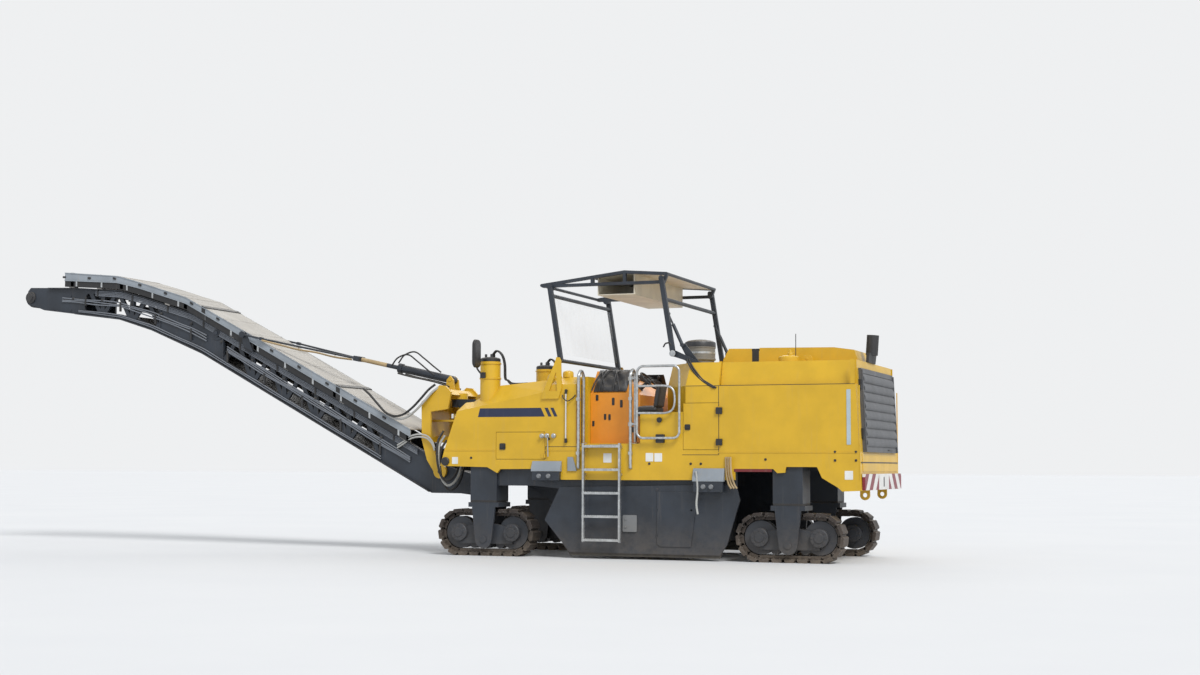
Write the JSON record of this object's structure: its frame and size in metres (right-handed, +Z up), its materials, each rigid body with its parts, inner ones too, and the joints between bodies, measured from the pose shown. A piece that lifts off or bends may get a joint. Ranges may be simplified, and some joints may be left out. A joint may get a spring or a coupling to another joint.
{
  "type": "cold planer milling machine",
  "caption": "Cold planer on four steered tracks with a milling drum, engine hood, operator platform under a folding canopy and a slewing, lifting discharge conveyor.",
  "frame": {"origin": "on the ground, in the middle of the overall length, on the centre plane", "axes": "+X forward towards the conveyor tip, +Y to the left, +Z up"},
  "size_m": [12.9869, 2.513, 4.01],
  "materials": {
    "yellow_paint": "semi-gloss ochre yellow",
    "dark_paint": "satin blue-black",
    "grille_paint": "satin dark grey",
    "stripe_paint": "retroreflective red and white",
    "galvanised": "galvanised steel",
    "bright_rod": "polished rod",
    "black_plastic": "black",
    "iron": "plain dark metal",
    "track_steel": "worn dusty steel",
    "black_rubber": "matte black rubber",
    "grey_plastic": "dusty grey",
    "cream_panel": "cream",
    "black_vinyl": "black vinyl",
    "clear_glass": "clear"
  },
  "bodies": {
    "chassis": {"chassis_frame": "dark_paint", "front_body": "yellow_paint", "platform_floor": "yellow_paint", "rear_body": "yellow_paint", "engine_block": "iron", "radiator_block": "iron", "rear_bumper": "stripe_paint", "exhaust_stack": "iron", "air_cleaner": "grey_plastic", "control_console": "yellow_paint", "steering_wheels": "black_plastic", "operator_seats": "black_vinyl", "handrails": "galvanised", "ladders": "galvanised", "side_lamp_boxes": "grille_paint", "mirror_left": "black_plastic", "leg_columns": "dark_paint", "lift_cylinders": "yellow_paint", "drum_housing": "dark_paint", "side_skirts": "dark_paint", "primary_conveyor": "dark_paint", "nose_bracket": "dark_paint", "canopy_brackets": "dark_paint", "canopy_front_brackets": "yellow_paint"},
    "leg_front_left": {"fork_front_left": "dark_paint", "track_frame_front_left": "dark_paint", "track_front_left": "track_steel"},
    "leg_front_right": {"fork_front_right": "dark_paint", "track_frame_front_right": "dark_paint", "track_front_right": "track_steel"},
    "leg_rear_left": {"fork_rear_left": "dark_paint", "track_frame_rear_left": "dark_paint", "track_rear_left": "track_steel"},
    "leg_rear_right": {"fork_rear_right": "dark_paint", "track_frame_rear_right": "dark_paint", "track_rear_right": "track_steel"},
    "drum": {"milling_drum": "iron"},
    "hood": {"engine_hood": "yellow_paint"},
    "grille_door": {"rear_grille_door": "grille_paint"},
    "service_door_left": {"service_door_left": "yellow_paint"},
    "storage_door_left": {"storage_door_left": "yellow_paint"},
    "gate_left": {"gate_left": "galvanised"},
    "service_door_right": {"service_door_right": "yellow_paint"},
    "storage_door_right": {"storage_door_right": "yellow_paint"},
    "gate_right": {"gate_right": "galvanised"},
    "mast": {"conveyor_mast": "yellow_paint"},
    "slew_rod": {"slew_rod": "bright_rod"},
    "conveyor": {"conveyor_frame": "dark_paint", "conveyor_belt": "black_rubber", "conveyor_cover": "grey_plastic"},
    "boom_barrel": {"boom_barrel": "dark_paint"},
    "boom_rod": {"boom_rod": "bright_rod"},
    "front_posts": {"canopy_front_posts": "dark_paint", "canopy_windscreen": "clear_glass"},
    "rear_posts": {"canopy_rear_posts": "dark_paint"},
    "roof": {"canopy_roof": "dark_paint", "canopy_panels": "cream_panel"},
    "canopy_cylinders": {"canopy_cylinders": "dark_paint"},
    "canopy_rods": {"canopy_rods": "bright_rod"}
  },
  "joints": [
    {"name": "steer_front_left", "type": "hinge", "parent": "chassis", "child": "leg_front_left", "pos_m": [-1.5185, 0.928, 0.7], "axis": [0, 0, 1], "range_deg": [-20, 20]},
    {"name": "steer_front_right", "type": "hinge", "parent": "chassis", "child": "leg_front_right", "pos_m": [-1.5185, -0.928, 0.7], "axis": [0, 0, 1], "range_deg": [-20, 20]},
    {"name": "steer_rear_left", "type": "hinge", "parent": "chassis", "child": "leg_rear_left", "pos_m": [-5.5485, 0.928, 0.7], "axis": [0, 0, 1], "range_deg": [-20, 20]},
    {"name": "steer_rear_right", "type": "hinge", "parent": "chassis", "child": "leg_rear_right", "pos_m": [-5.5485, -0.928, 0.7], "axis": [0, 0, 1], "range_deg": [-20, 20]},
    {"name": "drum_spin", "type": "hinge", "parent": "chassis", "child": "drum", "pos_m": [-3.6835, -0.31, 0.585], "axis": [0, 1, 0], "continuous": true},
    {"name": "hood_open", "type": "hinge", "parent": "chassis", "child": "hood", "pos_m": [-4.5185, 0, 2.47], "axis": [0, 1, 0], "range_deg": [0, 40]},
    {"name": "grille_open", "type": "hinge", "parent": "chassis", "child": "grille_door", "pos_m": [-6.45238, 0.974, 1.33583], "axis": [-0.0486, 0, -0.9988], "range_deg": [0, 100]},
    {"name": "service_left", "type": "hinge", "parent": "chassis", "child": "service_door_left", "pos_m": [-4.6985, 1.159, 1.65], "axis": [0, 0, 1], "range_deg": [0, 110]},
    {"name": "storage_left", "type": "hinge", "parent": "chassis", "child": "storage_door_left", "pos_m": [-2.3885, 1.159, 1.416], "axis": [0, 0, 1], "range_deg": [0, 110]},
    {"name": "gate_swing_left", "type": "hinge", "parent": "chassis", "child": "gate_left", "pos_m": [-3.5515, 1.1673, 1.96], "axis": [0, 0, -1], "range_deg": [0, 178]},
    {"name": "service_right", "type": "hinge", "parent": "chassis", "child": "service_door_right", "pos_m": [-4.6985, -1.159, 1.65], "axis": [0, 0, -1], "range_deg": [0, 110]},
    {"name": "storage_right", "type": "hinge", "parent": "chassis", "child": "storage_door_right", "pos_m": [-2.3885, -1.159, 1.416], "axis": [0, 0, -1], "range_deg": [0, 110]},
    {"name": "gate_swing_right", "type": "hinge", "parent": "chassis", "child": "gate_right", "pos_m": [-3.5515, -1.1673, 1.96], "axis": [0, 0, 1], "range_deg": [0, 178]},
    {"name": "conveyor_slew", "type": "hinge", "parent": "chassis", "child": "mast", "pos_m": [-0.6335, 0, 1.8], "axis": [0, 0, 1], "range_deg": [-50, 50]},
    {"name": "slew_rod_slide", "type": "slide", "parent": "chassis", "child": "slew_rod", "axis": [1, 0, 0], "range_m": [-0.17, 0.17]},
    {"name": "conveyor_lift", "type": "hinge", "parent": "mast", "child": "conveyor", "pos_m": [-0.5535, 0, 1.08], "axis": [0, -1, 0], "range_deg": [-15, 6]},
    {"name": "boom_pitch", "type": "hinge", "parent": "mast", "child": "boom_barrel", "pos_m": [-0.5235, 0, 2.335], "axis": [0, -1, 0], "range_deg": [-16, 8]},
    {"name": "boom_slide", "type": "slide", "parent": "boom_barrel", "child": "boom_rod", "axis": [0.9771, 0, 0.2128], "range_m": [-0.14, 0.335]},
    {"name": "canopy_fold", "type": "hinge", "parent": "chassis", "child": "rear_posts", "pos_m": [-4.0755, 0, 2.56], "axis": [0, 1, 0], "range_deg": [-70, 0]},
    {"name": "roof_level", "type": "hinge", "parent": "rear_posts", "child": "roof", "pos_m": [-3.9205, 0, 3.515], "axis": [0, 1, 0], "range_deg": [0, 70]},
    {"name": "front_post_fold", "type": "hinge", "parent": "chassis", "child": "front_posts", "pos_m": [-2.5635, 0, 2.5], "axis": [0, 1, 0], "range_deg": [-70, 0]},
    {"name": "canopy_cylinder_pitch", "type": "hinge", "parent": "chassis", "child": "canopy_cylinders", "pos_m": [-4.1755, 0, 2.669], "axis": [0, 1, 0], "range_deg": [-94, 0]},
    {"name": "canopy_rod_slide", "type": "slide", "parent": "canopy_cylinders", "child": "canopy_rods", "axis": [0.4169, 0, 0.909], "range_m": [-0.08, 0]}
  ],
  "couplings": [
    {"joint": "steer_front_right", "follows": "steer_front_left", "ratio": 1},
    {"joint": "steer_rear_right", "follows": "steer_rear_left", "ratio": 1},
    {"joint": "slew_rod_slide", "follows": "conveyor_slew", "m_per_rad": -0.175},
    {"joint": "boom_pitch", "follows": "conveyor_lift", "ratio": 1.05},
    {"joint": "boom_slide", "follows": "conveyor_lift", "m_per_rad": -1.23},
    {"joint": "roof_level", "follows": "canopy_fold", "ratio": -1},
    {"joint": "front_post_fold", "follows": "canopy_fold", "ratio": 1},
    {"joint": "canopy_cylinder_pitch", "follows": "canopy_fold", "ratio": 1.32},
    {"joint": "canopy_rod_slide", "follows": "canopy_fold", "m_per_rad": 0.05}
  ]
}
